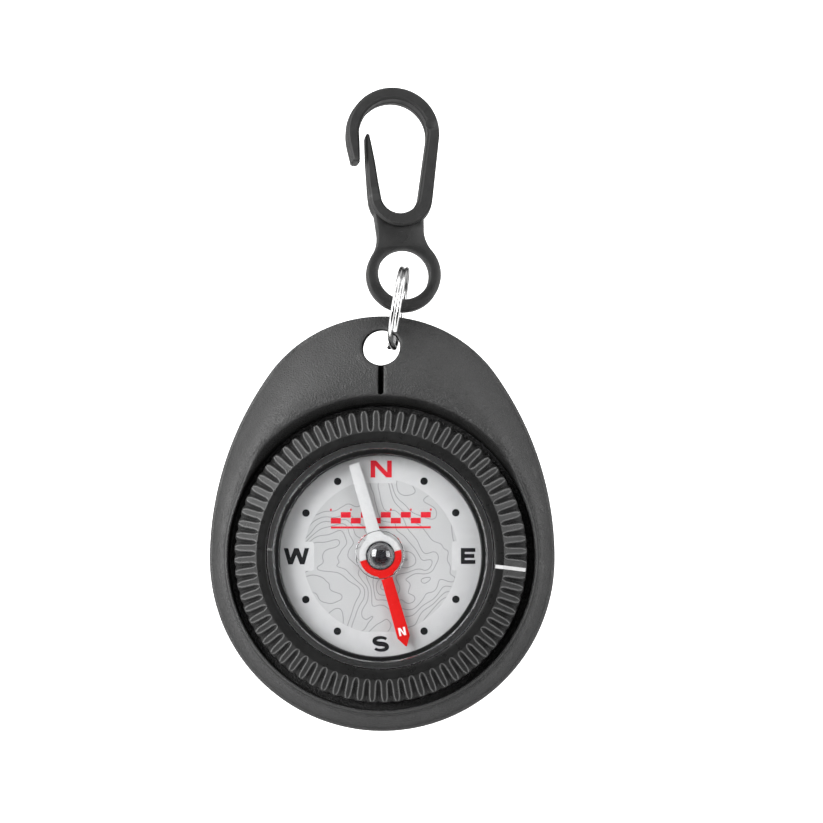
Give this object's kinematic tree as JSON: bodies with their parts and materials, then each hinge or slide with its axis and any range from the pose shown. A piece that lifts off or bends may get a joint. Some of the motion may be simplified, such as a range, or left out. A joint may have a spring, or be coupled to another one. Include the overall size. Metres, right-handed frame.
{
  "type": "clip-on compass",
  "caption": "Clip-on compass: egg-shaped black body, turning grooved bezel, sealed capsule with needle and dial, split ring and plastic snap hook.",
  "frame": {"origin": "on the dial's axis, at the flat back face", "axes": "+Z out of the dial, +Y towards the lanyard hole and the snap hook, +X to the right"},
  "size_m": [0.049, 0.0917, 0.012],
  "materials": {
    "body_plastic": "fine textured black ABS",
    "cover_plastic": "fine textured black ABS",
    "bezel_plastic": "satin black ABS with a white index line",
    "capsule_plastic": "smooth black",
    "dial_print": "white card printed in grey, black and red",
    "pin_steel": "ground steel",
    "needle_paint": "painted steel, one half white and one half red",
    "hub_gloss": "polished dark dome",
    "jewel": "polished synthetic jewel",
    "clear_lens": "clear moulded acrylic",
    "plug_steel": "small bright plug",
    "ring_steel": "bright nickel-plated wire",
    "hook_plastic": "satin black acetal"
  },
  "bodies": {
    "base": {"base_shell": "body_plastic", "back_cover": "cover_plastic", "capsule_cup": "capsule_plastic", "dial_card": "dial_print", "pivot_pin": "pin_steel", "capsule_lens": "clear_lens", "fill_plug": "plug_steel"},
    "bezel": {"bezel_ring": "bezel_plastic"},
    "needle": {"needle": "needle_paint", "hub_cap": "hub_gloss", "jewel_cup": "jewel"},
    "ring": {"split_ring": "ring_steel"},
    "hook": {"clip_body": "hook_plastic"},
    "gate": {"clip_gate": "hook_plastic"}
  },
  "joints": [
    {"name": "bezel_turn", "type": "hinge", "parent": "base", "child": "bezel", "pos_m": [0, 0, 0.0063], "axis": [0, 0, 1], "continuous": true},
    {"name": "needle_turn", "type": "hinge", "parent": "base", "child": "needle", "pos_m": [0, 0, 0.0077], "axis": [0, 0, 1], "continuous": true},
    {"name": "ring_swing", "type": "hinge", "parent": "base", "child": "ring", "pos_m": [0.00202, 0.03293, 0.004], "axis": [0.9863, -0.165, 0], "range_deg": [-30, 20]},
    {"name": "clip_swing", "type": "hinge", "parent": "ring", "child": "hook", "pos_m": [0.00247, 0.03569, 0.00506], "axis": [0.9863, -0.165, 0], "range_deg": [-40, 110]},
    {"name": "gate_flex", "type": "hinge", "parent": "hook", "child": "gate", "pos_m": [-0.00111, 0.0509, 0.00432], "axis": [-0.1335, -0.0795, -0.9879], "range_deg": [0, 13], "stiffness_Nm_per_rad": 0.2}
  ]
}
